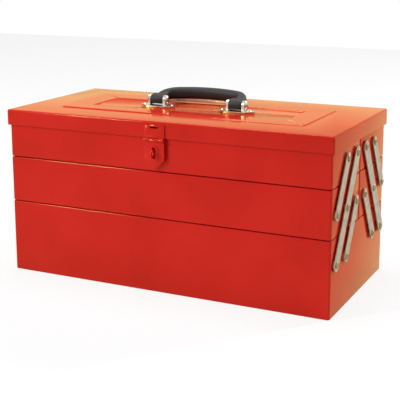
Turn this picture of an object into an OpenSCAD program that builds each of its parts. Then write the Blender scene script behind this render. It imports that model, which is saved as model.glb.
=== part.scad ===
// Cantilever tool box: a base box, two lower trays and two upper trays that spread on riveted arms,
// one overlapping lid with a hasp in front, hinges behind and a folding carrying handle on top.
// Millimetres. X runs along the front, -Y is the front, Z is up. The origin is the middle of the underside.

/* [Box] */
// Length of the box body along its front
box_l = 460; // [360:5:560]
// Depth of the box body from front to back
box_w = 218; // [196:2:260]
// Height of the base box
base_h = 98.5; // [85:0.5:140]
// Height of a lower tray
lower_tray_h = 61; // [54:0.5:75]
// Height of an upper tray
upper_tray_h = 44.5; // [42:0.5:60]
// Height of the dark seam between two tiers
seam_gap = 1; // [0.6:0.1:2]
// Gap between the front trays and the back trays
split_gap = 1; // [0.6:0.1:2]

/* [Sheet metal] */
// Thickness of the painted steel sheet
sheet_t = 0.8; // [0.7:0.1:1.2]
// Outside radius of the upright corners
corner_r = 3; // [2.8:0.1:6]
// Height of the folded hem along each top edge
hem_h = 6; // [4:0.5:8]
// Slit left inside the folded hem
hem_slit = 0.4; // [0.2:0.1:0.6]
// Height of the flange round each floor pan
pan_flange_h = 8; // [5:0.5:12]

/* [Floor beads] */
// Height of the stiffening beads pressed into the base floor
bead_h = 1.5; // [0.8:0.1:2.5]
// Width of a stiffening bead
bead_w = 12; // [8:1:20]
// Distance from a bead's end to the walls
bead_end = 40; // [25:1:80]

/* [Lid] */
// Height of the lid's rim
lid_rim_h = 21; // [18:0.5:30]
// How far the rim reaches below the top edge of the trays
lid_overlap = 1; // [0.5:0.1:1.5]
// Gap between the rim and the trays
lid_gap = 2; // [1.5:0.1:3]
// Radius of the lid's edges and corners
lid_edge_r = 2.5; // [1.5:0.1:4]
// Distance from the lid's ends to the raised frame
frame_end = 54; // [40:1:80]
// Distance from the lid's front and back to the raised frame
frame_side = 49; // [36:1:58]
// Width of the raised frame at the ends
frame_end_w = 34; // [15:1:50]
// Width of the raised frame at the front and back
frame_side_w = 28; // [12:1:30]
// Height of the raised frame
frame_h = 1.2; // [0.6:0.1:1.6]
// Radius of the raised frame's corners
frame_r = 5; // [3:0.5:8]

/* [Arms] */
// Width of the long arms
long_arm_w = 17; // [14:0.5:20]
// Width of the short arms
short_arm_w = 15; // [13:0.5:18]
// Thickness of an arm
arm_t = 1.6; // [1.2:0.1:2.5]
// Distance between an arm and the wall behind it
arm_standoff = 1.5; // [1:0.1:3]
// Distance from the outer rivets to the front or back wall
rivet_edge = 15; // [12:0.5:20]
// Distance from the inner rivets to the middle of the box
rivet_inner = 18; // [14:0.5:24]
// Height of the tray rivets above the tray's underside
rivet_up = 28.5; // [24:0.5:32]
// Radius of a rivet's bearing in an arm
pivot_r = 3; // [2.5:0.1:3.5]
// Radius of a rivet's shank in the wall
shank_r = 2.4; // [1.8:0.1:2.4]
// Radius of a rivet's head
rivet_head_r = 4.6; // [4.2:0.1:5.5]
// Height of a rivet's domed head
rivet_head_h = 1.6; // [1:0.1:2.4]

/* [Back hinges] */
// Number of hinges along the back
hinge_count = 3; // [2:1:4]
// Length of a hinge
hinge_l = 60; // [40:2:80]
// Thickness of the hinge leaves
leaf_t = 1.2; // [1:0.1:1.5]
// Outside radius of a hinge knuckle
knuckle_r = 2.6; // [2.4:0.1:3]
// Radius of a hinge pin
hinge_pin_r = 1.3; // [1:0.1:1.3]
// Height of a hinge leaf
leaf_h = 16; // [12:0.5:18]

/* [Hasp] */
// Distance of the hasp from the middle of the front, to the right
hasp_x = -4; // [-40:1:40]
// Width of the hasp
hasp_w = 29; // [24:1:40]
// Thickness of the hasp's plates
hasp_t = 1.5; // [1.2:0.1:1.8]
// Distance from the hasp pin to the hasp's lower tip
hasp_drop = 37.5; // [34:0.5:40]
// Distance from the lid's top to the upper plate's edge
hasp_top = 4; // [3:0.5:6]
// Outside radius of the hasp's knuckle
hasp_knuckle_r = 2.3; // [2.2:0.1:2.6]
// Radius of the hasp's pin
hasp_pin_r = 1.1; // [0.8:0.1:1.2]
// How far the upper plate steps out over the rim's edge
hasp_step = 1; // [0.8:0.1:1.5]
// Distance from the hasp pin to the middle of the eye
eye_drop = 16.6; // [15:0.2:18]
// Thickness of the eye
eye_t = 2.5; // [2:0.1:3.5]
// Height of the eye
eye_h = 10; // [9:0.5:12]
// Radius of the eye's hole for a padlock
eye_hole_r = 2.6; // [2:0.1:3]
// Height of the pressed ring round the hasp's slot
ring_h = 1.2; // [0.6:0.1:1.5]

/* [Handle] */
// Distance between the handle's two brackets
handle_span = 118; // [110:1:140]
// Distance from the handle's pivot to the middle of the grip
handle_reach = 38; // [36:1:50]
// Radius of the bow of the grip
grip_bow_r = 160; // [140:5:300]
// Radius of the handle's shoulders
shoulder_r = 18; // [15:1:20]
// Height of the handle's pivot above the lid
handle_pivot_h = 9.8; // [9.4:0.1:11]
// Angle at which the handle lies back from upright
handle_lean = 81; // [78:0.5:83]
// Width of the grip across the hand
grip_w = 16.5; // [16:0.5:17]
// Thickness of the grip
grip_t = 13; // [12.5:0.5:15]
// Radius of the grip's long edges
grip_edge_r = 6; // [3:0.5:6]
// Width of the shoulders across the hand
shoulder_w = 14; // [13:0.5:14.5]
// Step by which the shoulders are thinner than the grip and the legs
shoulder_step = 0.6; // [0.5:0.1:0.8]
// Width of the handle's eye blocks
block_w = 19; // [15:0.5:21]
// Gap between the eye blocks and the brackets under them
block_gap = 1.4; // [0.8:0.1:2]
// Length of an eye block beyond its pivot
block_l = 8; // [6:0.5:10]
// Length of a bracket's base plate
bracket_l = 52; // [50:1:60]
// Depth of a bracket's base plate
bracket_w = 26; // [22:1:26]
// Thickness of a bracket's base plate
bracket_t = 2; // [1.5:0.1:2.2]
// Radius of a bracket's ears
ear_r = 6; // [5:0.1:6.5]
// Length of an ear before its dome
ear_l = 3.5; // [3:0.1:4]
// Height of an ear's dome
ear_dome = 3; // [2:0.1:3.5]
// Radius of the handle's pivot pins
handle_pin_r = 2; // [1.5:0.1:2.5]
// Thickness of the bright steel strap along the grip
strap_t = 3; // [2:0.1:4]
// Depth to which the grip is moulded over the strap
strap_lap = 2; // [1:0.1:3]
// Gap under the strap when the handle lies back, over the bracket plates and the raised frame
handle_rest_gap = 0.5; // [0.4:0.1:1]

/* [Fits] */
// Running clearance of a pin or rivet in its hole, on the radius
pin_fit = 0.05; // [0.02:0.01:0.1]
// Gap between flat faces that move past each other
side_play = 0.15; // [0.1:0.05:0.3]
// Gap between neighbouring knuckles
knuckle_gap = 0.3; // [0.2:0.05:0.5]

/* [Hidden] */
$fn = 48;
red = [0.80, 0.15, 0.14];
zinc = [0.68, 0.66, 0.60];
chrome = [0.80, 0.80, 0.80];
black = [0.12, 0.11, 0.11];
// How far a cutting shape runs past what it cuts
cut = 1;
// Smallest step that keeps joined shapes solid
hair = 0.1;
// Smallest inside radius of a folded corner
fold_r = 0.3;
// Tiers
tray_w = (box_w - split_gap) / 2;
lower_z = base_h + seam_gap;
upper_z = lower_z + lower_tray_h + seam_gap;
trays_top = upper_z + upper_tray_h;
// Rivet grid: outer, middle and inner columns, and one row on each tier
rivet_run = (box_w / 2 - rivet_edge - rivet_inner) / 2;
y_outer = box_w / 2 - rivet_edge;
y_middle = y_outer - rivet_run;
y_inner = rivet_inner;
z_lower = lower_z + rivet_up;
z_upper = upper_z + rivet_up;
z_base = 2 * z_lower - z_upper;
arm_x = box_l / 2 + arm_standoff + side_play;
rivet_tail_w = 1.6;
rivet_tail_r = shank_r + rivet_tail_w;
rivet_tail_h = 1.2;
collar_w = 3;
collar_r = pivot_r + collar_w;
// Lid
lid_l = box_l + 2 * (lid_gap + sheet_t);
lid_w = box_w + 2 * (lid_gap + sheet_t);
rim_z = trays_top - lid_overlap;
lid_z = rim_z + lid_rim_h;
frame_l = lid_l - 2 * frame_end;
frame_w = lid_w - 2 * frame_side;
// Back hinges
hinge_y = lid_w / 2 + knuckle_r;
hinge_drop = 0.2;
hinge_z = rim_z - knuckle_r - hinge_drop;
hinge_end = 80;
hinge_pitch = (box_l - 2 * hinge_end) / (hinge_count - 1);
knuckle_l = hinge_l / 5;
// Hasp
hasp_y = -(lid_w / 2 + hasp_step + hasp_knuckle_r);
hasp_z = rim_z - hasp_knuckle_r - hair;
hasp_mid = hasp_w / 2;
leaf_in = -(lid_w / 2 + hasp_step);
leaf_out = leaf_in - hasp_t;
eye_z = hasp_z - eye_drop;
ring_play = 1;
eye_y = leaf_out - ring_h - eye_hole_r - ring_play;
slot_play = 2.5;
slot_side = 1;
slot_w = eye_t + 2 * slot_side;
slot_h = eye_h + 2 * slot_play;
ring_band = 4.5;
eye_base_w = 16;
eye_base_h = 20;
eye_plate_t = 1.2;
eye_plate_r = 3;
// Lower edge of the hasp's upper plate, and the jog above it
plate_rise = 0.2;
plate_z = rim_z + plate_rise;
jog_l = 0.4;
jog_rise = 1.5;
// The leaf's shoulders, taper, round tip and the bend that lifts the tip
shoulder_gap = 0.4;
strip_lap = 2;
taper_h = 12;
tip_r = 5;
tip_turn = 41;
tip_bend_h = 5;
tip_bend = 2;
// Slot near the upper edge of the plate, and the narrower one behind it in the rim
window_w = 12;
window_step = 0.5;
window_h = 2;
window_drop = 3.6;
window_z = lid_z - hasp_top - window_drop;
// Handle
bracket_x = handle_span / 2;
pivot_z = lid_z + handle_pivot_h;
block_r = handle_pivot_h - bracket_t - block_gap;
// Middle line of the handle's bar: a straight leg, a shoulder and the bow of the grip, tangent to each other
shoulder_x = bracket_x - shoulder_r;
bow_z = handle_reach - grip_bow_r;
bow_turn = asin(shoulder_x / (grip_bow_r - shoulder_r));
leg_l = bow_z + (grip_bow_r - shoulder_r) * cos(bow_turn);
leg_w = shoulder_w + 2 * shoulder_step;
// Angle by which a shoulder runs into the leg and into the grip
shoulder_lap = 8;
strap_inset = 0.3;
ear_in = block_w / 2 + side_play;
bracket_tip_r = 2.8;
bracket_tip_w = 2;
bracket_rivet_in = 5;
bracket_rivet_x = bracket_l / 2 - bracket_rivet_in;
bracket_rivet_r = 1.6;
bracket_head_r = 2.6;
bracket_head_h = 1.2;
bracket_tail_h = 0.8;

// A rectangle with round corners, centred
module round_rect(l, w, r) {
    square([l - 2 * r, w], center = true);
    square([l, w - 2 * r], center = true);
    for (sx = [-1, 1], sy = [-1, 1])
        translate([sx * (l / 2 - r), sy * (w / 2 - r)])
            circle(r);
}

// Draws a profile of Y and Z along X, from the middle outwards
module along_x(l) {
    rotate([90, 0, 90])
        linear_extrude(l, center = true)
            children();
}

// Draws a profile of X and Z along Y, starting at Y = 0 and going to the front
module towards_front(l) {
    rotate([90, 0, 0])
        linear_extrude(l)
            children();
}

module at_both_ends() {
    children();
    mirror([1, 0, 0])
        children();
}

// A folded band of sheet with four round corners and an inward hem along its top
module wall_band(l, w, h) {
    inner_r = max(corner_r - sheet_t, fold_r);
    slit_in = sheet_t + hem_slit;
    hem_in = slit_in + sheet_t;
    difference() {
        linear_extrude(h)
            round_rect(l, w, corner_r);
        translate([0, 0, -cut])
            linear_extrude(h - sheet_t + cut)
                round_rect(l - 2 * sheet_t, w - 2 * sheet_t, inner_r);
        translate([0, 0, h - 2 * sheet_t])
            linear_extrude(3 * sheet_t)
                round_rect(l - 2 * hem_in, w - 2 * hem_in, fold_r);
    }
    translate([0, 0, h - hem_h])
        linear_extrude(hem_h - sheet_t / 2)
            difference() {
                round_rect(l - 2 * slit_in, w - 2 * slit_in, max(corner_r - slit_in, 2 * fold_r));
                round_rect(l - 2 * hem_in, w - 2 * hem_in, fold_r);
            }
}

// A floor pan with a flange that stands up against the inside of the walls
module floor_pan(l, w) {
    outer_r = max(corner_r - sheet_t, fold_r);
    inner_r = max(outer_r - sheet_t, fold_r);
    difference() {
        linear_extrude(pan_flange_h)
            round_rect(l - 2 * sheet_t, w - 2 * sheet_t, outer_r);
        translate([0, 0, sheet_t])
            linear_extrude(pan_flange_h)
                round_rect(l - 4 * sheet_t, w - 4 * sheet_t, inner_r);
    }
}

// Holes through both end walls at a list of Y and Z places
module end_holes(places) {
    for (p = places)
        translate([0, p[0], p[1]])
            rotate([0, 90, 0])
                cylinder(r = shank_r + pin_fit, h = box_l + 2 * cut, center = true);
}

// A shoulder rivet at the outside of the right end wall, pointing outwards
module shoulder_rivet() {
    bearing_l = arm_t + 2 * side_play;
    dome_r = (rivet_head_r * rivet_head_r + rivet_head_h * rivet_head_h) / (2 * rivet_head_h);
    head_z = arm_standoff + bearing_l;
    rotate([0, 90, 0])
        rotate_extrude() {
            translate([0, -sheet_t - rivet_tail_h])
                square([rivet_tail_r, rivet_tail_h]);
            translate([0, -sheet_t - hair])
                square([shank_r, sheet_t + 2 * hair]);
            square([collar_r, arm_standoff]);
            square([pivot_r, head_z + hair]);
            translate([0, head_z])
                intersection() {
                    square([rivet_head_r, rivet_head_h]);
                    translate([0, rivet_head_h - dome_r])
                        circle(dome_r, $fn = 96);
                }
        }
}

module rivets_at(places) {
    at_both_ends()
        for (p = places)
            translate([box_l / 2, p[0], p[1]])
                shoulder_rivet();
}

module base_rivets() {
    color(zinc)
        rivets_at(concat(base_places(-1), base_places(1)));
}

module tray_rivets(places) {
    color(zinc)
        rivets_at(places);
}

// A flat arm with round ends and a hole at each place, standing off the right end wall
module arm(places, w) {
    first = places[0];
    last = places[len(places) - 1];
    run = last - first;
    translate([arm_x + arm_t / 2, first[0], first[1]])
        rotate([atan2(run[1], run[0]), 0, 0])
            along_x(arm_t)
                difference() {
                    union() {
                        translate([0, -w / 2])
                            square([norm(run), w]);
                        for (end_y = [0, norm(run)])
                            translate([end_y, 0])
                                circle(w / 2);
                    }
                    for (p = places)
                        translate([norm(p - first), 0])
                            circle(pivot_r + pin_fit);
                }
}

// Rivet places, for the front with side = -1 and for the back with side = 1
function base_places(side) = [[side * y_outer, z_base], [side * y_middle, z_base]];
function lower_places(side) =
    [[side * y_outer, z_lower], [side * y_middle, z_lower], [side * y_inner, z_lower]];
function upper_places(side) = [[side * y_middle, z_upper], [side * y_inner, z_upper]];
function long_arm_places(side) =
    [[side * y_outer, z_base], [side * y_middle, z_lower], [side * y_inner, z_upper]];
function base_arm_places(side) = [[side * y_middle, z_base], [side * y_inner, z_lower]];
function tray_arm_places(side) = [[side * y_outer, z_lower], [side * y_middle, z_upper]];
function tray_y(side) = side * (box_w - tray_w) / 2;

module base_walls() {
    color(red)
        difference() {
            wall_band(box_l, box_w, base_h);
            end_holes(concat(base_places(-1), base_places(1)));
        }
}

module base_floor() {
    bead_l = box_w - 2 * bead_end;
    color(red)
        difference() {
            union() {
                floor_pan(box_l, box_w);
                for (k = [-1, 0, 1])
                    translate([k * box_l / 4, 0, sheet_t / 2])
                        linear_extrude(bead_h + sheet_t / 2)
                            round_rect(bead_w, bead_l, bead_w / 2 - hair);
            }
            for (k = [-1, 0, 1])
                translate([k * box_l / 4, 0, -cut])
                    linear_extrude(bead_h + cut)
                        round_rect(bead_w - 2 * sheet_t, bead_l - 2 * sheet_t, bead_w / 2 - sheet_t - hair);
        }
}

module lower_walls(side) {
    color(red)
        difference() {
            translate([0, tray_y(side), lower_z])
                wall_band(box_l, tray_w, lower_tray_h);
            end_holes(lower_places(side));
        }
}

module upper_walls(side) {
    color(red)
        difference() {
            translate([0, tray_y(side), upper_z])
                wall_band(box_l, tray_w, upper_tray_h);
            end_holes(upper_places(side));
        }
}

module tray_floor(side, z) {
    color(red)
        translate([0, tray_y(side), z])
            floor_pan(box_l, tray_w);
}

module right_arm(places, w) {
    color(zinc)
        arm(places, w);
}

module left_arm(places, w) {
    mirror([1, 0, 0])
        right_arm(places, w);
}

// A slab standing on Z = 0 with round upright corners and round top edges
module soft_slab(l, w, h, r) {
    straight = h - r;
    linear_extrude(straight)
        round_rect(l, w, r);
    translate([0, 0, straight / 2])
        linear_extrude(h - straight / 2)
            square([l - 2 * r, w - 2 * r], center = true);
    for (s = [-1, 1]) {
        translate([0, s * (w / 2 - r), straight])
            rotate([0, 90, 0])
                cylinder(r = r, h = l - 2 * r, center = true);
        translate([s * (l / 2 - r), 0, straight])
            rotate([90, 0, 0])
                cylinder(r = r, h = w - 2 * r, center = true);
        for (t = [-1, 1])
            translate([s * (l / 2 - r), t * (w / 2 - r), straight])
                sphere(r);
    }
}

// The wide raised frame pressed into the lid's top, or its hollow underside
module raised_frame(inset, base_z, h) {
    opening_l = frame_l - 2 * frame_end_w;
    opening_w = frame_w - 2 * frame_side_w;
    translate([0, 0, base_z])
        linear_extrude(h)
            difference() {
                round_rect(frame_l - 2 * inset, frame_w - 2 * inset, frame_r);
                round_rect(opening_l + 2 * inset, opening_w + 2 * inset, frame_r);
            }
}

module lid_shell() {
    inside_h = lid_rim_h - sheet_t;
    color(red)
        difference() {
            union() {
                translate([0, 0, rim_z])
                    soft_slab(lid_l, lid_w, lid_rim_h, lid_edge_r);
                raised_frame(0, lid_z - sheet_t / 2, frame_h + sheet_t / 2);
            }
            translate([0, 0, rim_z - cut])
                soft_slab(lid_l - 2 * sheet_t, lid_w - 2 * sheet_t, inside_h + cut, lid_edge_r - sheet_t);
            raised_frame(sheet_t, lid_z - 2 * sheet_t, frame_h + sheet_t);
            translate([hasp_x, 0, window_z])
                towards_front(lid_w)
                    square([window_w - 2 * window_step, window_h], center = true);
            for (b = [-1, 1], r = [-1, 1])
                translate([b * bracket_x + r * bracket_rivet_x, 0, lid_z])
                    cylinder(r = bracket_rivet_r + pin_fit, h = 4 * sheet_t, center = true);
        }
}

// Places children at the middle of each back hinge
module at_hinges() {
    for (k = [0 : hinge_count - 1])
        translate([(k - (hinge_count - 1) / 2) * hinge_pitch, 0, 0])
            children();
}

// The knuckles of one leaf: the outer and middle ones with which = 0, the two between with which = 1
module hinge_knuckles(which) {
    for (k = [-2 + which : 2 : 2 - which])
        translate([k * knuckle_l, 0, 0])
            along_x(knuckle_l - knuckle_gap)
                difference() {
                    union() {
                        translate([hinge_y, hinge_z])
                            circle(knuckle_r);
                        children();
                    }
                    translate([hinge_y, hinge_z])
                        circle(hinge_pin_r + pin_fit);
                }
}

module lid_hinge_leaves() {
    color(red)
        at_hinges() {
            along_x(hinge_l)
                translate([lid_w / 2, rim_z + 2 * hinge_drop])
                    square([leaf_t, leaf_h]);
            hinge_knuckles(1)
                translate([lid_w / 2, hinge_z])
                    square([leaf_t, rim_z - hinge_z + cut]);
        }
}

module tray_hinge_leaves() {
    web_z = hinge_z - knuckle_r;
    color(red)
        at_hinges() {
            along_x(hinge_l)
                translate([box_w / 2, web_z + leaf_t - leaf_h])
                    square([leaf_t, leaf_h]);
            hinge_knuckles(0)
                translate([box_w / 2, web_z])
                    square([hinge_y - box_w / 2, leaf_t]);
        }
}

module hinge_pins() {
    color(zinc)
        at_hinges()
            translate([0, hinge_y, hinge_z])
                rotate([0, 90, 0])
                    cylinder(r = hinge_pin_r, h = hinge_l, center = true);
}

// The outer knuckles of the hasp, or its middle one, with the strip that carries them
module hasp_knuckle(x0, x1) {
    translate([hasp_x + (x0 + x1) / 2, 0, 0])
        along_x(x1 - x0)
            difference() {
                union() {
                    translate([hasp_y, hasp_z])
                        circle(hasp_knuckle_r);
                    children();
                }
                translate([hasp_y, hasp_z])
                    circle(hasp_pin_r + pin_fit);
            }
}

module hasp_plate() {
    rim_y = -lid_w / 2;
    knuckle = hasp_w / 4;
    color(red)
        difference() {
            union() {
                translate([hasp_x, 0, 0])
                    along_x(hasp_w)
                        polygon([
                            [rim_y, lid_z - hasp_top], [rim_y - hasp_t, lid_z - hasp_top],
                            [rim_y - hasp_t, plate_z + 2 * jog_l + jog_rise],
                            [leaf_out, plate_z + 2 * jog_l],
                            [leaf_out, plate_z], [leaf_in, plate_z],
                            [leaf_in, plate_z + jog_l], [rim_y, plate_z + jog_l + jog_rise]
                        ]);
                for (x = [-hasp_mid, hasp_mid - knuckle])
                    hasp_knuckle(x, x + knuckle)
                        translate([leaf_out, hasp_z])
                            square([hasp_t, plate_z + jog_l - hasp_z]);
            }
            translate([hasp_x, 0, window_z])
                towards_front(lid_w)
                    square([window_w, window_h], center = true);
        }
}

module hasp_pin() {
    color(zinc)
        translate([hasp_x, hasp_y, hasp_z])
            rotate([0, 90, 0])
                cylinder(r = hasp_pin_r, h = hasp_w, center = true);
}

// Front outline of the hasp's leaf, from its shoulders down to its round tip
module hasp_outline() {
    tip_z = hasp_z - hasp_drop + tip_r;
    tangent = tip_r * [cos(tip_turn), -sin(tip_turn)];
    shoulder_z = hasp_z - hasp_knuckle_r - shoulder_gap;
    taper_z = hasp_z - hasp_drop + taper_h;
    translate([-hasp_mid, taper_z])
        square([hasp_w, shoulder_z - taper_z]);
    polygon([[-hasp_mid, taper_z], [hasp_mid, taper_z],
        [tangent[0], tip_z + tangent[1]], [-tangent[0], tip_z + tangent[1]]]);
    translate([0, tip_z])
        circle(tip_r);
}

module hasp_leaf() {
    ring_r = slot_w / 2 + ring_band - 2 * hair;
    middle = hasp_mid - hasp_w / 4 - knuckle_gap;
    tip_z = hasp_z - hasp_drop;
    color(red)
        difference() {
            union() {
                intersection() {
                    translate([hasp_x, 0, 0])
                        towards_front(lid_w)
                            hasp_outline();
                    translate([hasp_x, 0, 0])
                        along_x(hasp_w)
                            polygon([
                                [leaf_in, hasp_z], [leaf_out, hasp_z], [leaf_out, tip_z + tip_bend_h],
                                [leaf_out - tip_bend, tip_z - cut], [leaf_in - tip_bend, tip_z - cut],
                                [leaf_in, tip_z + tip_bend_h]
                            ]);
                }
                hasp_knuckle(-middle, middle)
                    translate([leaf_out, hasp_z - hasp_knuckle_r - strip_lap])
                        square([hasp_t, hasp_knuckle_r + strip_lap]);
                translate([hasp_x, leaf_out + hasp_t / 2, eye_z])
                    towards_front(ring_h + hasp_t / 2)
                        round_rect(slot_w + 2 * ring_band, slot_h + ring_band, ring_r);
            }
            translate([hasp_x, 0, eye_z])
                towards_front(lid_w)
                    round_rect(slot_w, slot_h, slot_w / 2 - hair);
        }
}

module hasp_eye() {
    wall_y = -box_w / 2;
    color(red) {
        translate([hasp_x, wall_y, eye_z])
            towards_front(eye_plate_t)
                round_rect(eye_base_w, eye_base_h, eye_plate_r);
        translate([hasp_x, 0, 0])
            along_x(eye_t)
                difference() {
                    union() {
                        translate([eye_y, eye_z - eye_h / 2])
                            square([wall_y - eye_plate_t / 2 - eye_y, eye_h]);
                        translate([eye_y, eye_z])
                            circle(eye_h / 2);
                    }
                    translate([eye_y, eye_z])
                        circle(eye_hole_r);
                }
    }
}

// One handle bracket: a pointed base plate with two domed ears, centred at its pivot's X
module bracket() {
    dome_r = (ear_r * ear_r + ear_dome * ear_dome) / (2 * ear_dome);
    tip_x = bracket_l / 2 - bracket_tip_w;
    color(chrome)
        difference() {
            union() {
                translate([0, 0, lid_z])
                    linear_extrude(bracket_t) {
                        polygon([
                            [-tip_x, -bracket_tip_w], [-bracket_l / 4, -bracket_w / 2],
                            [bracket_l / 4, -bracket_w / 2], [tip_x, -bracket_tip_w],
                            [tip_x, bracket_tip_w], [bracket_l / 4, bracket_w / 2],
                            [-bracket_l / 4, bracket_w / 2], [-tip_x, bracket_tip_w]
                        ]);
                        for (s = [-1, 1])
                            translate([s * (bracket_l / 2 - bracket_tip_r), 0])
                                circle(bracket_tip_r);
                    }
                for (s = [0, 1])
                    mirror([s, 0, 0]) {
                        translate([ear_in, 0, pivot_z])
                            rotate([0, 90, 0])
                                cylinder(r = ear_r, h = ear_l);
                        translate([ear_in, -ear_r, lid_z + bracket_t / 2])
                            cube([ear_l, 2 * ear_r, handle_pivot_h - bracket_t / 2]);
                        intersection() {
                            translate([ear_in + ear_l + ear_dome - dome_r, 0, pivot_z])
                                sphere(dome_r);
                            translate([ear_in + ear_l - hair, -ear_r, pivot_z - ear_r])
                                cube([ear_dome + hair, 2 * ear_r, 2 * ear_r]);
                        }
                    }
            }
            translate([0, 0, pivot_z])
                rotate([0, 90, 0])
                    cylinder(r = handle_pin_r + pin_fit, h = 2 * (ear_in + ear_l), center = true);
            for (s = [-1, 1])
                translate([s * bracket_rivet_x, 0, lid_z])
                    cylinder(r = bracket_rivet_r + pin_fit, h = 4 * bracket_t, center = true);
        }
}

module bracket_left() {
    translate([-bracket_x, 0, 0])
        bracket();
}

module bracket_right() {
    translate([bracket_x, 0, 0])
        bracket();
}

module bracket_rivets() {
    dome_r = (bracket_head_r * bracket_head_r + bracket_head_h * bracket_head_h) / (2 * bracket_head_h);
    color(chrome)
        for (b = [-1, 1], s = [-1, 1])
            translate([b * bracket_x + s * bracket_rivet_x, 0, lid_z])
                rotate_extrude() {
                    translate([0, -sheet_t - bracket_tail_h])
                        square([bracket_head_r, bracket_tail_h]);
                    translate([0, -sheet_t - hair])
                        square([bracket_rivet_r, sheet_t + bracket_t + 2 * hair]);
                    translate([0, bracket_t])
                        intersection() {
                            square([bracket_head_r, bracket_head_h]);
                            translate([0, bracket_head_h - dome_r])
                                circle(dome_r, $fn = 96);
                        }
                }
}

module handle_pins() {
    color(chrome)
        for (b = [-1, 1])
            translate([b * bracket_x, 0, pivot_z])
                rotate([0, 90, 0])
                    cylinder(r = handle_pin_r, h = 2 * (ear_in + ear_l - hair), center = true);
}

// Turns the upright handle about its pivot to where it lies
module laid_back() {
    translate([0, 0, pivot_z])
        rotate([-handle_lean, 0, 0])
            children();
}

// The handle's bar is drawn from sections in which X points away from the hand and Y to the side that
// faces the lid when the handle lies back.
module bar_frame() {
    mirror([0, 1, 0])
        rotate([90, 0, 0])
            children();
}

module along_bow() {
    bar_frame()
        translate([0, bow_z, 0])
            rotate([0, 0, 90 - bow_turn])
                rotate_extrude(angle = 2 * bow_turn, $fn = 180)
                    translate([grip_bow_r, 0])
                        children();
}

module along_shoulders() {
    bar_frame()
        at_both_ends()
            translate([shoulder_x, leg_l, 0])
                rotate([0, 0, -shoulder_lap])
                    rotate_extrude(angle = 90 - bow_turn + 2 * shoulder_lap)
                        translate([shoulder_r, 0])
                            children();
}

// A leg widens from its eye block to the shoulder
module legs() {
    at_both_ends()
        intersection() {
            translate([bracket_x, 0, 0])
                linear_extrude(leg_l)
                    round_rect(grip_t, leg_w, grip_edge_r);
            translate([bracket_x, 0, 0])
                along_x(2 * grip_t)
                    polygon([[-block_r, -cut], [block_r, -cut], [leg_w / 2, leg_l + cut],
                        [-leg_w / 2, leg_l + cut]]);
        }
}

module eye_blocks() {
    at_both_ends()
        translate([bracket_x, 0, 0])
            along_x(block_w) {
                circle(block_r);
                translate([-block_r, 0])
                    square([2 * block_r, block_l]);
            }
}

module strap_section(t, inner_y) {
    translate([-t / 2, inner_y])
        square([t, grip_w]);
}

module strap_sweep() {
    inner_y = grip_w / 2 - strap_lap;
    along_bow()
        strap_section(strap_t, inner_y);
    along_shoulders()
        strap_section(strap_t - shoulder_step, inner_y + strap_inset);
}

module handle_grip() {
    color(black)
        laid_back()
            difference() {
                union() {
                    along_bow()
                        round_rect(grip_t, grip_w, grip_edge_r);
                    along_shoulders()
                        round_rect(grip_t - 2 * shoulder_step, shoulder_w, grip_edge_r - shoulder_step);
                    legs();
                    eye_blocks();
                }
                rotate([0, 90, 0])
                    cylinder(r = handle_pin_r + pin_fit, h = handle_span + 2 * block_w, center = true);
                strap_sweep();
            }
}

// The strap stands out of the grip and is cut off level, just above the lid's frame and the brackets
module handle_strap() {
    color(chrome)
        intersection() {
            laid_back()
                strap_sweep();
            translate([-handle_span, 0, lid_z + max(frame_h, bracket_t) + handle_rest_gap])
                cube([2 * handle_span, 2 * handle_reach, handle_reach]);
        }
}

base_walls();
base_floor();
lower_walls(-1);  // front_lower_tray_walls
tray_floor(-1, lower_z);  // front_lower_tray_floor
lower_walls(1);  // back_lower_tray_walls
tray_floor(1, lower_z);  // back_lower_tray_floor
upper_walls(-1);  // front_upper_tray_walls
tray_floor(-1, upper_z);  // front_upper_tray_floor
upper_walls(1);  // back_upper_tray_walls
tray_floor(1, upper_z);  // back_upper_tray_floor
left_arm(long_arm_places(-1), long_arm_w);  // front_long_arm_left
right_arm(long_arm_places(-1), long_arm_w);  // front_long_arm_right
left_arm(long_arm_places(1), long_arm_w);  // back_long_arm_left
right_arm(long_arm_places(1), long_arm_w);  // back_long_arm_right
left_arm(base_arm_places(-1), short_arm_w);  // front_base_arm_left
right_arm(base_arm_places(-1), short_arm_w);  // front_base_arm_right
left_arm(base_arm_places(1), short_arm_w);  // back_base_arm_left
right_arm(base_arm_places(1), short_arm_w);  // back_base_arm_right
left_arm(tray_arm_places(-1), short_arm_w);  // front_tray_arm_left
right_arm(tray_arm_places(-1), short_arm_w);  // front_tray_arm_right
left_arm(tray_arm_places(1), short_arm_w);  // back_tray_arm_left
right_arm(tray_arm_places(1), short_arm_w);  // back_tray_arm_right
base_rivets();
tray_rivets(lower_places(-1));  // front_lower_rivets
tray_rivets(lower_places(1));  // back_lower_rivets
tray_rivets(upper_places(-1));  // front_upper_rivets
tray_rivets(upper_places(1));  // back_upper_rivets
lid_shell();
lid_hinge_leaves();
tray_hinge_leaves();
hinge_pins();
hasp_plate();
hasp_pin();
hasp_leaf();
hasp_eye();
bracket_left();
bracket_right();
bracket_rivets();
handle_pins();
handle_grip();
handle_strap();
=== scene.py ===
import math

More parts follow.
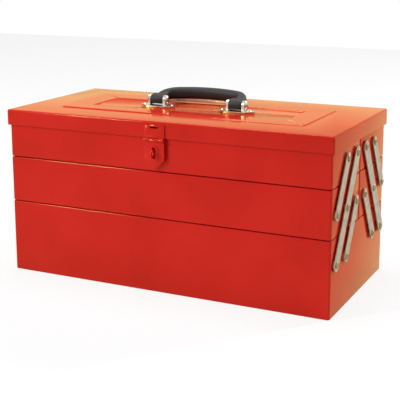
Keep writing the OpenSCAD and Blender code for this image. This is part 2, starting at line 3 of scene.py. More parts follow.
import bmesh
import bpy
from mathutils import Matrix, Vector


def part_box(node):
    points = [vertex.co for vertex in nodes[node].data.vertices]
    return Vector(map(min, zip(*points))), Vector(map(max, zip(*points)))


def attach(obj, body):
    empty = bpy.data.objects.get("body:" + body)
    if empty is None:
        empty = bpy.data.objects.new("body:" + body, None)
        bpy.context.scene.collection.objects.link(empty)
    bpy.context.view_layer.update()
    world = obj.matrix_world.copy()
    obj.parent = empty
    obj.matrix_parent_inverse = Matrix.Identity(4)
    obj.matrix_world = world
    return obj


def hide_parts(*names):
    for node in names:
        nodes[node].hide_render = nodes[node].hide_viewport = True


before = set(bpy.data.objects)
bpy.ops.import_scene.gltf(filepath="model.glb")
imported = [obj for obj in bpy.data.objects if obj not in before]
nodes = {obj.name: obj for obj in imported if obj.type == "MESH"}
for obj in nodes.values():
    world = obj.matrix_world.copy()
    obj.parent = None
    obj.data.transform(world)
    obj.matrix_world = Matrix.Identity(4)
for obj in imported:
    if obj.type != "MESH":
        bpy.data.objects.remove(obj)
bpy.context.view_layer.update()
mm = 0.001
print("stage: frame loaded")


# Picking and shaping

def clearPick():
    if bpy.context.object and bpy.context.object.mode != "OBJECT":
        bpy.ops.object.mode_set(mode="OBJECT")
    bpy.ops.object.select_all(action="DESELECT")


def makeActive(piece):
    clearPick()
    piece.select_set(True)
    bpy.context.view_layer.objects.active = piece


def named(name):
    piece = bpy.context.object
    piece.name = name
    piece.data.name = name
    return piece


def settle(piece):
    # puts the place, turn and size of the object into its mesh
    makeActive(piece)
    bpy.ops.object.transform_apply(location=True, rotation=True, scale=True)
    return piece


def startBlock(name, size, place):
    clearPick()
    bpy.ops.mesh.primitive_cube_add(size=1, location=place)
    piece = named(name)
    piece.scale = size
    return settle(piece)


def startPlate(name, size, place):
    clearPick()
    bpy.ops.mesh.primitive_plane_add(size=1, location=place)
    piece = named(name)
    piece.scale = (size[0], size[1], 1)
    return settle(piece)


def pick(piece, kind, test):
    # edit mode with only the vertices, edges or faces that pass the test
    if bpy.context.view_layer.objects.active != piece or piece.mode != "EDIT":
        makeActive(piece)
        bpy.ops.object.mode_set(mode="EDIT")
    bpy.ops.mesh.select_mode(type=kind)
    bpy.ops.mesh.select_all(action="DESELECT")
    mesh = bmesh.from_edit_mesh(piece.data)
    found = 0
    for part in {"VERT": mesh.verts, "EDGE": mesh.edges, "FACE": mesh.faces}[kind]:
        if test(part):
            part.select_set(True)
            found += 1
    mesh.select_flush_mode()
    bmesh.update_edit_mesh(piece.data)
    return found


def pickedMiddle():
    mesh = bmesh.from_edit_mesh(bpy.context.object.data)
    spots = [v.co for v in mesh.verts if v.select]
    return [(min(s[i] for s in spots) + max(s[i] for s in spots)) / 2 for i in range(3)]


def stretchPicked(stretch):
    bpy.ops.transform.resize(value=stretch, center_override=pickedMiddle())


def pushFace(shift, stretch=(1, 1, 1)):
    bpy.ops.mesh.extrude_region_move(TRANSFORM_OT_translate={"value": shift})
    if tuple(stretch) != (1, 1, 1):
        stretchPicked(stretch)


def pushEdges(shift, stretch=(1, 1, 1)):
    bpy.ops.mesh.extrude_edges_move(TRANSFORM_OT_translate={"value": shift})
    if tuple(stretch) != (1, 1, 1):
        stretchPicked(stretch)


def closeUp(piece, angle=35):
    # outward faces, smooth where the surface is round
    pick(piece, "VERT", lambda v: True)
    bpy.ops.mesh.remove_doubles(threshold=0.002 * mm)
    bpy.ops.mesh.normals_make_consistent(inside=False)
    bpy.ops.object.mode_set(mode="OBJECT")
    smoothed(piece, angle)


def smoothed(piece, angle=35):
    makeActive(piece)
    bpy.ops.object.shade_smooth_by_angle(angle=math.radians(angle))


def modified(piece, kind, **settings):
    makeActive(piece)
    change = piece.modifiers.new(kind.lower(), kind)
    for key, value in settings.items():
        setattr(change, key, value)
    bpy.ops.object.modifier_apply(modifier=change.name)
    return piece


def wallThickness(piece, thickness):
    return modified(piece, "SOLIDIFY", thickness=thickness, offset=-1, use_even_offset=True)


def softEdges(piece, width, segments=2, angle=35):
    return modified(piece, "BEVEL", width=width, segments=segments, limit_method="ANGLE",
                    angle_limit=math.radians(angle), harden_normals=False)


def cutOut(piece, tool):
    modified(piece, "BOOLEAN", operation="DIFFERENCE", object=tool, solver="EXACT")
    bpy.data.objects.remove(tool)
    return piece


def copied(piece, name, place=(0, 0, 0), turn=(0, 0, 0), scale=(1, 1, 1)):
    twin = piece.copy()
    twin.data = piece.data.copy()
    twin.name = name
    twin.data.name = name
    bpy.context.scene.collection.objects.link(twin)
    twin.location = place
    twin.rotation_euler = turn
    twin.scale = scale
    return settle(twin)


def joined(pieces, name):
    makeActive(pieces[0])
    for piece in pieces:
        piece.select_set(True)
    if len(pieces) > 1:
        bpy.ops.object.join()
    return named(name)


def softened(node, name, width, segments=2, angle=35):
    # a merged copy of a CAD node, with its hard edges broken as on a pressed part
    clearPick()
    piece = nodes[node].copy()
    piece.data = piece.data.copy()
    for key in list(piece.keys()):
        del piece[key]
    piece.parent = None
    piece.data.materials.clear()
    piece.name = name
    piece.data.name = name
    bpy.context.scene.collection.objects.link(piece)
    pick(piece, "VERT", lambda v: True)
    bpy.ops.mesh.remove_doubles(threshold=0.002 * mm)
    bpy.ops.mesh.dissolve_limited(angle_limit=math.radians(1))
    bpy.ops.object.mode_set(mode="OBJECT")
    softEdges(piece, width, segments, angle)
    smoothed(piece, angle)
    return piece


def finished(piece, material, slot, body, *replaced):
    piece.data.materials.clear()
    piece.data.materials.append(material)
    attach(piece, body)
    if replaced:
        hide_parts(*replaced)
    return piece


# Finishes

def linear(hexColour):
    parts = [int(hexColour[i:i + 2], 16) / 255 for i in (1, 3, 5)]
    return tuple(c / 12.92 if c <= 0.04045 else ((c + 0.055) / 1.055) ** 2.4 for c in parts) + (1,)


def addNode(tree, kind, settings=None, links=None):
    node = tree.nodes.new(kind)
    for key, value in (settings or {}).items():
        if key == "stops":
            for place, colour in value[2:]:
                node.color_ramp.elements.new(0.5)
            for element, (place, colour) in zip(node.color_ramp.elements, value):
                element.position = place
                element.color = linear(colour)
        elif isinstance(key, int) or key in node.inputs:
            node.inputs[key].default_value = value
        else:
            setattr(node, key, value)
    for socket, source in (links or {}).items():
        tree.links.new(source, node.inputs[socket])
    return node


def newFinish(name):
    material = bpy.data.materials.new(name)
    material.use_nodes = True
    tree = material.node_tree
    shader = tree.nodes["Principled BSDF"]
    spot = addNode(tree, "ShaderNodeTexCoord").outputs["Object"]
    return material, tree, shader, spot


def grains(sizeMm):
    # scale of a noise whose bumps are this many millimetres wide
    return 1000 / sizeMm


def bakedEnamel():
    # alkyd enamel sprayed on degreased sheet steel and baked: a deep red under a clear gloss whose
    # reflection carries a painted warm tint, so that a shallow look shows the white room warm; a faint
    # orange peel about 3 mm wide, and colour that drifts a little over a hand's width
    look = {"shade": "#BA1013", "mid": "#C51417", "light": "#CC1A1C", "warmTintedGloss": "#FFEDA6", "bend": 1.32,
            "roughness": (0.08, 0.18), "driftMm": 90, "wearMm": 24,
            "peelMm": 3.2, "peel": 0.05, "peelDepth": 0.3 * mm}
    material, tree, shader, spot = newFinish("bakedRedEnamel")
    drift = addNode(tree, "ShaderNodeTexNoise",
                    {"Scale": grains(look["driftMm"]), "Detail": 3}, {"Vector": spot})
    colour = addNode(tree, "ShaderNodeValToRGB",
                     {"stops": [(0.25, look["shade"]), (0.5, look["mid"]), (0.78, look["light"])]},
                     {"Fac": drift.outputs["Fac"]})
    wear = addNode(tree, "ShaderNodeTexNoise",
                   {"Scale": grains(look["wearMm"]), "Detail": 4, "Roughness": 0.6}, {"Vector": spot})
    gloss = addNode(tree, "ShaderNodeMapRange",
                    {"To Min": look["roughness"][0], "To Max": look["roughness"][1]},
                    {"Value": wear.outputs["Fac"]})
    peel = addNode(tree, "ShaderNodeTexNoise",
                   {"Scale": grains(look["peelMm"]), "Detail": 1}, {"Vector": spot})
    bump = addNode(tree, "ShaderNodeBump", {"Strength": look["peel"], "Distance": look["peelDepth"]},
                   {"Height": peel.outputs["Fac"]})
    tree.links.new(colour.outputs["Color"], shader.inputs["Base Color"])
    tree.links.new(bump.outputs["Normal"], shader.inputs["Normal"])
    # the paint below is matt: all the shine comes from the clear gloss, whose warm tint is painted, stronger
    # at a shallow look
    shader.inputs["Specular IOR Level"].default_value = 0
    warmTintedGloss = addNode(tree, "ShaderNodeBsdfAnisotropic", {"Color": linear(look["warmTintedGloss"])},
                      {"Roughness": gloss.outputs["Result"], "Normal": bump.outputs["Normal"]})
    mirror = addNode(tree, "ShaderNodeFresnel", {"IOR": look["bend"]}, {"Normal": bump.outputs["Normal"]})
    coated = addNode(tree, "ShaderNodeMixShader", None,
                     {0: mirror.outputs["Fac"], 1: shader.outputs["BSDF"], 2: warmTintedGloss.outputs["BSDF"]})
    tree.links.new(coated.outputs["Shader"], tree.nodes["Material Output"].inputs["Surface"])
    return material


def rolledSteel(name, base, light, streakAlong):
    # cold-rolled steel strip or drawn wire, plated or only brushed: a warm grey metal with fine lines
    # along its length, drawn 0.6 mm apart so that they show, and a cloudy bloom about 8 mm wide
    look = {"streakMm": 0.6, "cloudMm": 8, "roughness": (0.34, 0.52),
            "scratch": 0.10, "scratchDepth": 0.1 * mm}
    material, tree, shader, spot = newFinish(name)
    along = addNode(tree, "ShaderNodeMapping", {"Scale": streakAlong}, {"Vector": spot})
    streaks = addNode(tree, "ShaderNodeTexNoise", {"Scale": grains(look["streakMm"]), "Detail": 3},
                      {"Vector": along.outputs["Vector"]})
    cloud = addNode(tree, "ShaderNodeTexNoise",
                    {"Scale": grains(look["cloudMm"]), "Detail": 3}, {"Vector": spot})
    both = addNode(tree, "ShaderNodeMath", {"operation": "MULTIPLY"},
                   {0: cloud.outputs["Fac"], 1: streaks.outputs["Fac"]})
    colour = addNode(tree, "ShaderNodeValToRGB", {"stops": [(0.1, base), (0.42, light)]},
                     {"Fac": both.outputs["Value"]})
    gloss = addNode(tree, "ShaderNodeMapRange",
                    {"To Min": look["roughness"][0], "To Max": look["roughness"][1]},
                    {"Value": cloud.outputs["Fac"]})
    bump = addNode(tree, "ShaderNodeBump", {"Strength": look["scratch"], "Distance": look["scratchDepth"]},
                   {"Height": streaks.outputs["Fac"]})
    tree.links.new(colour.outputs["Color"], shader.inputs["Base Color"])
    tree.links.new(gloss.outputs["Result"], shader.inputs["Roughness"])
    tree.links.new(bump.outputs["Normal"], shader.inputs["Normal"])
    shader.inputs["Metallic"].default_value = 1
    return material


def chromePlate():
    # polished steel with decorative chromium: bright and neutral, a touch of haze from handling
    look = {"base": "#A39D8F", "light": "#CBC6B8", "roughness": (0.12, 0.30), "hazeMm": 14}
    material, tree, shader, spot = newFinish("chromePlatedSteel")
    haze = addNode(tree, "ShaderNodeTexNoise",
                   {"Scale": grains(look["hazeMm"]), "Detail": 4, "Roughness": 0.6}, {"Vector": spot})
    colour = addNode(tree, "ShaderNodeValToRGB", {"stops": [(0.3, look["base"]), (0.65, look["light"])]},
                     {"Fac": haze.outputs["Fac"]})
    gloss = addNode(tree, "ShaderNodeMapRange",
                    {"To Min": look["roughness"][0], "To Max": look["roughness"][1]},
                    {"Value": haze.outputs["Fac"]})
    tree.links.new(colour.outputs["Color"], shader.inputs["Base Color"])
    tree.links.new(gloss.outputs["Result"], shader.inputs["Roughness"])
    shader.inputs["Metallic"].default_value = 1
    return material


def mouldedPlastic():
    # soft black PVC moulded over the steel core, with a leather grain for the hand that is drawn about
    # 1.8 mm wide so that it shows; the IOR is under that of PVC, because its shine is that soft here
    look = {"shade": "#0B0A09", "light": "#1A1714", "roughness": (0.49, 0.65), "cloudMm": 11, "ior": 1.42,
            "grainMm": 1.8, "grain": 0.8, "grainDepth": 0.25 * mm}
    material, tree, shader, spot = newFinish("mouldedBlackPlastic")
    cloud = addNode(tree, "ShaderNodeTexNoise",
                    {"Scale": grains(look["cloudMm"]), "Detail": 3}, {"Vector": spot})
    colour = addNode(tree, "ShaderNodeValToRGB", {"stops": [(0.3, look["shade"]), (0.7, look["light"])]},
                     {"Fac": cloud.outputs["Fac"]})
    gloss = addNode(tree, "ShaderNodeMapRange",
                    {"To Min": look["roughness"][0], "To Max": look["roughness"][1]},
                    {"Value": cloud.outputs["Fac"]})
    grain = addNode(tree, "ShaderNodeTexVoronoi", {"Scale": grains(look["grainMm"])}, {"Vector": spot})
    bump = addNode(tree, "ShaderNodeBump", {"Strength": look["grain"], "Distance": look["grainDepth"]},
                   {"Height": grain.outputs["Distance"]})
    tree.links.new(colour.outputs["Color"], shader.inputs["Base Color"])
    tree.links.new(gloss.outputs["Result"], shader.inputs["Roughness"])
    tree.links.new(bump.outputs["Normal"], shader.inputs["Normal"])
    shader.inputs["IOR"].default_value = look["ior"]
    return material


redEnamel = bakedEnamel()
# arms: blanked from strip and plated with bright zinc, lines along the strip
zincStrip = rolledSteel("zincPlatedStrip", "#9A8F78", "#CBC0A6", (1, 1, 0.12))
# rivets: headed from plated wire, darker than the strip
zincRivet = rolledSteel("zincPlatedRivetWire", "#77684A", "#B09E78", (1, 1, 1))
# strap of the handle: brushed along its length and left bright
brushedSteel = rolledSteel("brushedStrapSteel", "#D8CDBB", "#F2ECDF", (0.12, 1, 1))
chromeSteel = chromePlate()
blackPlastic = mouldedPlastic()
print("stage: finishes made")

# every CAD node gets its finish, also those that a finer piece stands for; the last word that fits counts
nodeFinish = {"rivets": zincRivet, "arm": zincStrip, "pin": zincRivet, "bracket": chromeSteel,
              "handle_pins": chromeSteel, "handle_strap": brushedSteel, "handle_grip": blackPlastic}
for nodeName, node in nodes.items():
    finish = redEnamel
    for word, candidate in nodeFinish.items():
        if word in nodeName:
            finish = candidate
    node.data.materials.clear()
    node.data.materials.append(finish)


# Folded walls of the base and the four trays

wall = {"sheet": 0.8 * mm, "cornerRadius": 3 * mm, "cornerSteps": 6, "hemDepth": 6 * mm,
        "rollRadius": 1.2 * mm, "rollSteps": 6, "footRadius": 0.78 * mm, "footSteps": 4}


def rolledOver(spans, radius, steps, sweep, away):
    # the picked edges follow a roll of this radius inwards, over a quarter or a half turn
    lastIn, lastUp = 0, 0
    for step in range(1, steps + 1):
        turn = sweep * step / steps
        inwards = radius * (1 - math.cos(turn))
        up = radius * math.sin(turn)
        ratio = [(s - 2 * inwards) / (s - 2 * lastIn) for s in spans]
        pushEdges((0, 0, away * (up - lastUp)), (ratio[0], ratio[1], 1))
        lastIn, lastUp = inwards, up


def foldedBand(node, name, body):
    low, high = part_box(node)
    size = high - low
    middle = (high + low) / 2
    piece = startBlock(name, size, middle)
    pick(piece, "FACE", lambda f: abs(f.normal.z) > 0.9)
    bpy.ops.mesh.delete(type="FACE")
    pick(piece, "EDGE", lambda e: abs(e.verts[0].co.z - e.verts[1].co.z) > size.z / 2)
    bpy.ops.mesh.bevel(offset=wall["cornerRadius"], segments=wall["cornerSteps"], affect="EDGES")
    # the foot of the wall turns in under the floor pan
    pick(piece, "EDGE", lambda e: all(v.co.z < low.z + mm for v in e.verts))
    bpy.ops.transform.translate(value=(0, 0, wall["footRadius"]))
    rolledOver((size.x, size.y), wall["footRadius"], wall["footSteps"], math.pi / 2, -1)
    # the hem rolls over inwards and comes down inside the wall
    pick(piece, "EDGE", lambda e: all(v.co.z > high.z - mm for v in e.verts))
    bpy.ops.transform.translate(value=(0, 0, -wall["rollRadius"]))
    rolledOver((size.x, size.y), wall["rollRadius"], wall["rollSteps"], math.pi, 1)
    pushEdges((0, 0, -(wall["hemDepth"] - wall["rollRadius"])))
    bpy.ops.object.mode_set(mode="OBJECT")
    wallThickness(piece, wall["sheet"])
    smoothed(piece, 40)
    return finished(piece, redEnamel, "red_enamel", body, node)


foldedBand("base_walls", "baseFoldedWalls", "base")
for side in ("front", "back"):
    for level in ("lower", "upper"):
        part = side + "_" + level + "_tray"
        foldedBand(part + "_walls", side + level.title() + "FoldedWalls", part)
print("stage: folded walls")


# Lid: one pressed sheet with soft edges and a wide raised frame in its top

lid = {"sheet": 0.8 * mm, "edgeRadius": 2.5 * mm, "edgeSteps": 5, "rimHeight": 21 * mm,
       "frameEnd": 54 * mm, "frameSide": 49 * mm, "frameEndWidth": 34 * mm, "frameSideWidth": 28 * mm,
       "frameHeight": 1.2 * mm, "slope": 1.6 * mm, "frameRadius": 5 * mm, "frameSteps": 6,
       "slotPlace": (-4 * mm, 218.4 * mm), "slotSize": (11 * mm, 2 * mm), "slotReach": 10 * mm,
       "brokenEdge": 0.3 * mm}


def stretchFrom(before, after):
    # takes a face from one length and width to another
    return (after[0] / before[0], after[1] / before[1], 1)


def pressedLid():
    low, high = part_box("lid_shell")
    length, width = high.x - low.x, high.y - low.y
    top = low.z + lid["rimHeight"]
    middle = ((low.x + high.x) / 2, (low.y + high.y) / 2)
    shell = startBlock("pressedLid", (length, width, lid["rimHeight"]), (*middle, (top + low.z) / 2))
    pick(shell, "FACE", lambda f: f.normal.z < -0.9)
    bpy.ops.mesh.delete(type="FACE")
    pick(shell, "EDGE", lambda e: any(v.co.z > top - mm for v in e.verts))
    bpy.ops.mesh.bevel(offset=lid["edgeRadius"], segments=lid["edgeSteps"], affect="EDGES")
    # the flat top is opened where the raised frame goes
    frameLength = length - 2 * lid["frameEnd"]
    frameWidth = width - 2 * lid["frameSide"]
    pick(shell, "FACE", lambda f: f.normal.z > 0.999 and f.calc_area() > 0.5 * length * width)
    bpy.ops.mesh.inset(thickness=lid["frameSide"])
    insetLength = length - 2 * lid["edgeRadius"] - 2 * lid["frameSide"]
    insetWidth = width - 2 * lid["edgeRadius"] - 2 * lid["frameSide"]
    stretchPicked(stretchFrom((insetLength, insetWidth), (frameLength, frameWidth)))
    bpy.ops.mesh.delete(type="FACE")
    bpy.ops.object.mode_set(mode="OBJECT")
    # the raised frame: up a short slope, flat, and down again to the middle panel
    raised = startPlate("raisedFrame", (frameLength, frameWidth), (*middle, top))
    pick(raised, "VERT", lambda v: True)
    bpy.ops.mesh.bevel(offset=lid["frameRadius"], segments=lid["frameSteps"], affect="VERTICES")
    pick(raised, "FACE", lambda f: True)
    slope = 2 * lid["slope"]
    foot = (frameLength, frameWidth)
    crest = (frameLength - slope, frameWidth - slope)
    innerCrest = (frameLength - 2 * lid["frameEndWidth"], frameWidth - 2 * lid["frameSideWidth"])
    innerFoot = (innerCrest[0] - slope, innerCrest[1] - slope)
    pushFace((0, 0, lid["frameHeight"]), stretchFrom(foot, crest))
    pushFace((0, 0, 0), stretchFrom(crest, innerCrest))
    pushFace((0, 0, -lid["frameHeight"]), stretchFrom(innerCrest, innerFoot))
    outerArea = 0.9 * frameLength * frameWidth
    pick(raised, "FACE", lambda f: f.calc_area() > outerArea)
    bpy.ops.mesh.delete(type="ONLY_FACE")
    bpy.ops.object.mode_set(mode="OBJECT")
    piece = joined([shell, raised], "pressedLid")
    pick(piece, "EDGE", lambda e: e.is_boundary and all(v.co.z > top - 0.5 * mm for v in e.verts))
    bpy.ops.mesh.bridge_edge_loops()
    closeUp(piece)
    wallThickness(piece, lid["sheet"])
    slot = startBlock("slotTool", (lid["slotSize"][0], lid["slotReach"], lid["slotSize"][1]),
                      (lid["slotPlace"][0], low.y, lid["slotPlace"][1]))
    cutOut(piece, slot)
    softEdges(piece, lid["brokenEdge"], 2, 30)
    smoothed(piece, 30)
    return finished(piece, redEnamel, "red_enamel", "lid", "lid_shell")


pressedLid()
print("stage: lid")


# Arms: flat strip with round ends, pierced for the rivets

arms = {"long": 17 * mm, "short": 15 * mm, "edge": 0.35 * mm, "bearing": 3.05 * mm, "endSteps": 14}


def armEnds(node, width):
    # middles of the round ends, as (y, z): the lower one is the outer one
    low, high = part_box(node)
    half = width / 2
    outer, inner = low.y + half, high.y - half
    if node.startswith("back"):
        outer, inner = inner, outer
    return (outer, low.z + half), (inner, high.z - half)


def stripArm(node, name, body, width, holes):
    low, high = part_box(node)
    half = width / 2
    first, last = [Vector((0, *end)) for end in armEnds(node, width)]
    run = last - first
    thickness = high.x - low.x
    piece = startPlate(name, (run.length + width, width), (run.length / 2, 0, 0))
    pick(piece, "VERT", lambda v: True)
    bpy.ops.mesh.bevel(offset=half * 0.999, segments=arms["endSteps"], affect="VERTICES")
    pick(piece, "FACE", lambda f: True)
    pushFace((0, 0, thickness))
    closeUp(piece)
    for k in range(holes):
        clearPick()
        bpy.ops.mesh.primitive_cylinder_add(vertices=40, radius=arms["bearing"], depth=4 * thickness,
                                            location=(run.length * k / (holes - 1), 0, 0))
        cutOut(piece, bpy.context.object)
    softEdges(piece, arms["edge"], 2, 40)
    # its length was drawn along X and its face up: now it stands on the end wall
    angle = math.atan2(run.z, run.y)
    piece.rotation_euler = (math.pi / 2, 0, math.pi / 2)
    settle(piece)
    piece.rotation_euler = (angle, 0, 0)
    piece.location = (low.x, first.y, first.z)
    settle(piece)
    smoothed(piece, 40)
    return finished(piece, zincStrip, "zinc_steel", body, node)


for side in ("front", "back"):
    for kind, width, holes in (("long", "long", 3), ("base", "short", 2), ("tray", "short", 2)):
        for end in ("left", "right"):
            stripArm(f"{side}_{kind}_arm_{end}", f"{side}{kind.title()}Strip{end.title()}",
                     f"{side}_{kind}_arms", arms[width], holes)
print("stage: arms")


# Shoulder rivets: turned once, then copied to every joint of the arms

# each ring is (way out from the end wall, radius) in millimetres
rivet = {"sides": 32, "rings": [(-2.0, 3.3), (-1.8, 3.85), (-1.5, 4.0), (-0.8, 4.0), (-0.8, 2.4), (0, 2.4),
                                (0, 6.0), (1.5, 6.0), (1.5, 3.0), (3.4, 3.0), (3.4, 4.45), (3.6, 4.6),
                                (4.0, 4.45), (4.5, 3.7), (4.85, 2.7), (4.95, 2.1), (4.7, 1.75), (4.35, 1.1),
                                (4.3, 0.5)]}


def turned(name, sides, rings):
    # a ring of vertices pushed up and stretched ring by ring, as on a lathe
    clearPick()
    bpy.ops.mesh.primitive_circle_add(vertices=sides, radius=rings[0][1] * mm, fill_type="NGON",
                                      location=(0, 0, rings[0][0] * mm))
    piece = settle(named(name))
    pick(piece, "FACE", lambda f: True)
    for (lastZ, lastR), (z, r) in zip(rings, rings[1:]):
        pushFace((0, 0, (z - lastZ) * mm), (r / lastR, r / lastR, 1))
    closeUp(piece, 40)
    return piece


def rivetSet(node, name, body):
    master = turned("rivetMaster", rivet["sides"], rivet["rings"])
    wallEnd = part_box("base_walls")[1].x
    spots = rivetSpots[node]
    copies = []
    for end in (-1, 1):
        for k, (y, z) in enumerate(spots):
            copies.append(copied(master, f"rivet{end}{k}", (end * wallEnd, y, z), (0, end * math.pi / 2, 0)))
    bpy.data.objects.remove(master)
    piece = joined(copies, name)
    smoothed(piece, 40)
    return finished(piece, zincRivet, "zinc_steel", body, node)


rivetSpots = {"base_rivets": []}
for side in ("front", "back"):
    longLow, longHigh = armEnds(side + "_long_arm_right", arms["long"])
    baseLow, baseHigh = armEnds(side + "_base_arm_right", arms["short"])
    trayLow, trayHigh = armEnds(side + "_tray_arm_right", arms["short"])
    longMiddle = ((longLow[0] + longHigh[0]) / 2, (longLow[1] + longHigh[1]) / 2)
    rivetSpots["base_rivets"] += [longLow, baseLow]
    rivetSpots[side + "_lower_rivets"] = [trayLow, longMiddle, baseHigh]
    rivetSpots[side + "_upper_rivets"] = [trayHigh, longHigh]
rivetSet("base_rivets", "baseShoulderRivets", "base")
for side in ("front", "back"):
    for level in ("lower", "upper"):
        rivetSet(f"{side}_{level}_rivets", f"{side}{level.title()}ShoulderRivets", f"{side}_{level}_tray")
print("stage: rivets")


# Handle: a bowed black grip moulded round a steel strap, on two legs with wide eye blocks

# in millimetres, as the grip stands upright over its pivots, before it is laid back
handle = {"pivot": (0, 0, 235.8 * mm), "lean": 81, "legX": 59, "legLength": 13.95, "legSteps": 3,
          "shoulderRadius": 18, "shoulderSteps": 8, "bowRadius": 160, "bowSteps": 6, "reach": 38,
          "thickness": 13, "footHalf": 6.1, "legHalf": 7.2, "gripHalf": 8.22, "edge": 5.0, "edgeSteps": 5,
          "block": (19, 12.8, 14.4), "blockRadius": 6.4, "blockSteps": 9, "blockEdge": 0.9, "pinRadius": 2.05}


def layBack(piece):
    piece.rotation_euler = (-math.radians(handle["lean"]), 0, 0)
    piece.location = handle["pivot"]
    return settle(piece)


def turnFace(angle, middle, stretch):
    # a step of the bar round a shoulder or along the bow, a little wider each time
    bpy.ops.mesh.spin(steps=1, angle=angle, center=middle, axis=(0, 1, 0))
    stretchPicked((1, stretch, 1))


def eyeBlock(side):
    width, depth, height = [v * mm for v in handle["block"]]
    radius = handle["blockRadius"] * mm
    place = (side * handle["legX"] * mm, 0, height / 2 - radius)
    piece = startBlock("eyeBlock", (width, depth, height), place)
    pick(piece, "EDGE", lambda e: all(v.co.z < 0 for v in e.verts)
         and abs(e.verts[0].co.x - e.verts[1].co.x) > width / 2)
    bpy.ops.mesh.bevel(offset=radius * 0.995, segments=handle["blockSteps"], affect="EDGES")
    bpy.ops.object.mode_set(mode="OBJECT")
    return softEdges(piece, handle["blockEdge"] * mm, 3, 50)


def mouldedGrip():
    legX, radius = handle["legX"], handle["shoulderRadius"]
    shoulderX = legX - radius
    bowZ = handle["reach"] - handle["bowRadius"]
    bowTurn = math.asin(shoulderX / (handle["bowRadius"] - radius))
    foot = (handle["thickness"] * mm, 2 * handle["footHalf"] * mm)
    piece = startPlate("mouldedGrip", foot, (legX * mm, 0, 0))
    pick(piece, "VERT", lambda v: True)
    bpy.ops.mesh.bevel(offset=handle["edge"] * mm, segments=handle["edgeSteps"], affect="VERTICES")
    pick(piece, "FACE", lambda f: True)
    legStretch = (handle["legHalf"] / handle["footHalf"]) ** (1 / handle["legSteps"])
    for step in range(handle["legSteps"]):
        pushFace((0, 0, handle["legLength"] * mm / handle["legSteps"]), (1, legStretch, 1))
    steps = handle["shoulderSteps"]
    stretch = (handle["gripHalf"] / handle["legHalf"]) ** (1 / steps)
    for step in range(steps):
        turnFace((math.pi / 2 - bowTurn) / steps, (shoulderX * mm, 0, handle["legLength"] * mm), stretch)
    for step in range(handle["bowSteps"]):
        turnFace(bowTurn / handle["bowSteps"], (0, 0, bowZ * mm), 1)
    bpy.ops.mesh.delete(type="FACE")
    bpy.ops.object.mode_set(mode="OBJECT")
    modified(piece, "MIRROR", use_axis=(True, False, False), use_clip=True, merge_threshold=0.05 * mm)
    closeUp(piece, 60)
    modified(piece, "SUBSURF", levels=1, render_levels=1)
    for side in (-1, 1):
        block = eyeBlock(side)
        modified(piece, "BOOLEAN", operation="UNION", object=block, solver="EXACT")
        bpy.data.objects.remove(block)
    clearPick()
    bpy.ops.mesh.primitive_cylinder_add(vertices=32, radius=handle["pinRadius"] * mm, depth=4 * legX * mm,
                                        rotation=(0, math.pi / 2, 0))
    cutOut(piece, bpy.context.object)
    layBack(piece)
    closeUp(piece, 40)
    return finished(piece, blackPlastic, "black_plastic", "handle", "handle_grip")


mouldedGrip()
print("stage: grip")


# Small pressed parts: copies of the construction with their edges broken

small = [("handle_strap", "gripStrap", 0.4, brushedSteel, "chrome_steel", "handle"),
         ("bracket_left", "bracketLeft", 0.4, chromeSteel, "chrome_steel", "lid"),
         ("bracket_right", "bracketRight", 0.4, chromeSteel, "chrome_steel", "lid"),
         ("hasp_plate", "haspPlate", 0.15, redEnamel, "red_enamel", "lid"),
         ("hasp_leaf", "haspLeaf", 0.15, redEnamel, "red_enamel", "hasp"),
         ("hasp_eye", "haspEye", 0.3, redEnamel, "red_enamel", "front_upper_tray")]
for node, name, edge, material, slot, body in small:
    finished(softened(node, name, edge * mm, 2, 40), material, slot, body, node)
print("stage: small parts")


# Camera, light and floor

# fitted to the corners and edges in the photograph; its upright edges hardly lean, which the shift gives
studio = {"azimuth": 26.19, "elevation": 11.19, "roll": -0.24, "distance": 1.3, "lens": 87.8, "sensor": 36,
          "shift": -0.15, "target": (17.3 * mm, -25.6 * mm, 188.8 * mm)}
# each lamp has its place and width in metres and its power in watts
lighting = {"aim": (0, 0, 110 * mm), "skyLevel": 0.27, "white": "#FFFFFF",
            "lamps": [("keyLamp", (-3.0, -3.4, 2.4), 0.9, 146), ("sideLamp", (1.9, 2.1, 2.0), 0.45, 66),
                      ("topLamp", (-0.3, 0.2, 2.4), 1.2, 34)]}
sweep = {"size": 6, "drop": 0.2 * mm, "paper": "#EFEFEF", "whiteShare": 0.84}


def studioCamera():
    azimuth, elevation = math.radians(studio["azimuth"]), math.radians(studio["elevation"])
    away = Vector((math.sin(azimuth) * math.cos(elevation), -math.cos(azimuth) * math.cos(elevation),
                   math.sin(elevation)))
    target = Vector(studio["target"])
    camera = bpy.data.objects.new("studioCamera", bpy.data.cameras.new("studioCamera"))
    bpy.context.scene.collection.objects.link(camera)
    camera.location = target + away * studio["distance"]
    camera.rotation_euler = (-away).to_track_quat("-Z", "Y").to_euler()
    camera.rotation_euler.rotate_axis("Z", math.radians(studio["roll"]))
    camera.data.lens = studio["lens"]
    camera.data.shift_y = studio["shift"]
    camera.data.sensor_width = studio["sensor"]
    camera.data.sensor_fit = "HORIZONTAL"
    bpy.context.scene.camera = camera


def seenBy(tree, *rays):
    # 1 for the rays that are named, 0 for all others
    path = addNode(tree, "ShaderNodeLightPath")
    seen = path.outputs[rays[0]]
    for ray in rays[1:]:
        seen = addNode(tree, "ShaderNodeMath", {"operation": "MAXIMUM"},
                       {0: seen, 1: path.outputs[ray]}).outputs["Value"]
    return seen


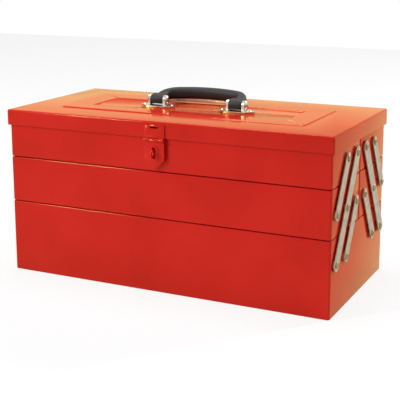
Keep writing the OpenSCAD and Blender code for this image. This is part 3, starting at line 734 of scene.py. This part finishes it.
def studioLight():
    for name, place, width, power in lighting["lamps"]:
        lamp = bpy.data.lights.new(name, "AREA")
        lamp.shape = "DISK"
        lamp.size = width
        lamp.energy = power
        holder = bpy.data.objects.new(name, lamp)
        bpy.context.scene.collection.objects.link(holder)
        holder.location = place
        holder.rotation_euler = (Vector(lighting["aim"]) - Vector(place)).to_track_quat("-Z", "Y").to_euler()
    world = bpy.data.worlds.new("studioWorld")
    bpy.context.scene.world = world
    world.use_nodes = True
    tree = world.node_tree
    tree.nodes.clear()
    seen = seenBy(tree, "Is Camera Ray", "Is Glossy Ray", "Is Transmission Ray")
    white = linear(lighting["white"])
    sky = addNode(tree, "ShaderNodeBackground", {"Color": white, "Strength": lighting["skyLevel"]})
    backdrop = addNode(tree, "ShaderNodeBackground", {"Color": white, "Strength": 1.0})
    mixed = addNode(tree, "ShaderNodeMixShader", None,
                    {0: seen, 1: sky.outputs["Background"], 2: backdrop.outputs["Background"]})
    addNode(tree, "ShaderNodeOutputWorld", None, {"Surface": mixed.outputs["Shader"]})


def studioFloor():
    # matt white paper: the camera and reflections see most of it as plain white, and the rest of it
    # keeps the object's shadow
    clearPick()
    bpy.ops.mesh.primitive_plane_add(size=sweep["size"], location=(0, 0, -sweep["drop"]))
    floor = named("studioFloor")
    material = bpy.data.materials.new("mattWhitePaper")
    material.use_nodes = True
    tree = material.node_tree
    tree.nodes.clear()
    seen = seenBy(tree, "Is Camera Ray", "Is Glossy Ray", "Is Transmission Ray")
    share = addNode(tree, "ShaderNodeMath", {"operation": "MULTIPLY", 1: sweep["whiteShare"]}, {0: seen})
    paper = addNode(tree, "ShaderNodeBsdfDiffuse", {"Color": linear(sweep["paper"])})
    glow = addNode(tree, "ShaderNodeEmission", {"Color": linear(lighting["white"]), "Strength": 1.0})
    mixed = addNode(tree, "ShaderNodeMixShader", None,
                    {0: share.outputs["Value"], 1: paper.outputs["BSDF"], 2: glow.outputs["Emission"]})
    addNode(tree, "ShaderNodeOutputMaterial", None, {"Surface": mixed.outputs["Shader"]})
    floor.data.materials.append(material)


studioCamera()
studioLight()
studioFloor()
bpy.context.scene.view_settings.view_transform = "Standard"
print("stage: studio")
